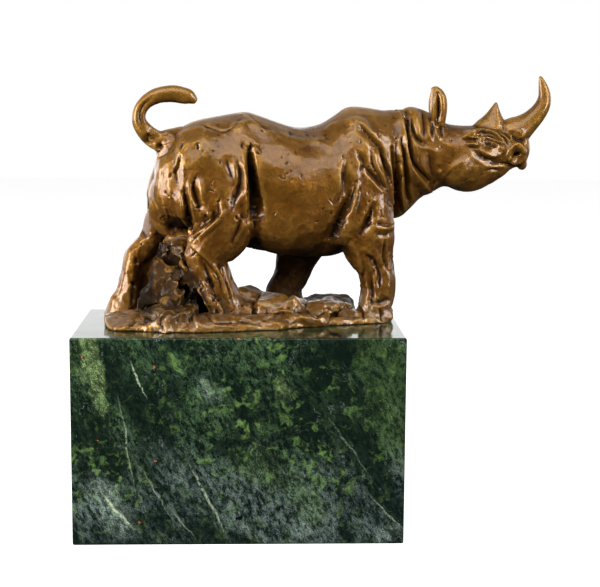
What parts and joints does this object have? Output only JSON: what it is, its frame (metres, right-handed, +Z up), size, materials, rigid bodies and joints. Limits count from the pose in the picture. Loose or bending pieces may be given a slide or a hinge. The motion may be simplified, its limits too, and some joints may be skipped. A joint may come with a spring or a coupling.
{
  "type": "bronze rhinoceros sculpture on marble plinth",
  "caption": "Bronze table sculpture of a striding two-horned rhinoceros with raised tail, standing on a block of polished green marble.",
  "frame": {"origin": "middle of the plinth's underside", "axes": "+X the way the animal faces, along the plinth's long side; +Y towards the animal's left side, away from the side shown; +Z up"},
  "size_m": [0.2701, 0.1, 0.2537],
  "materials": {
    "bronze": "polished brown bronze patina, darker in the hollows and rubbed bright on the high places",
    "green_marble": "polished dark green marble with paler green veins"
  },
  "bodies": {
    "root": {"bronze_rhinoceros": "bronze", "marble_plinth": "green_marble"}
  },
  "joints": []
}
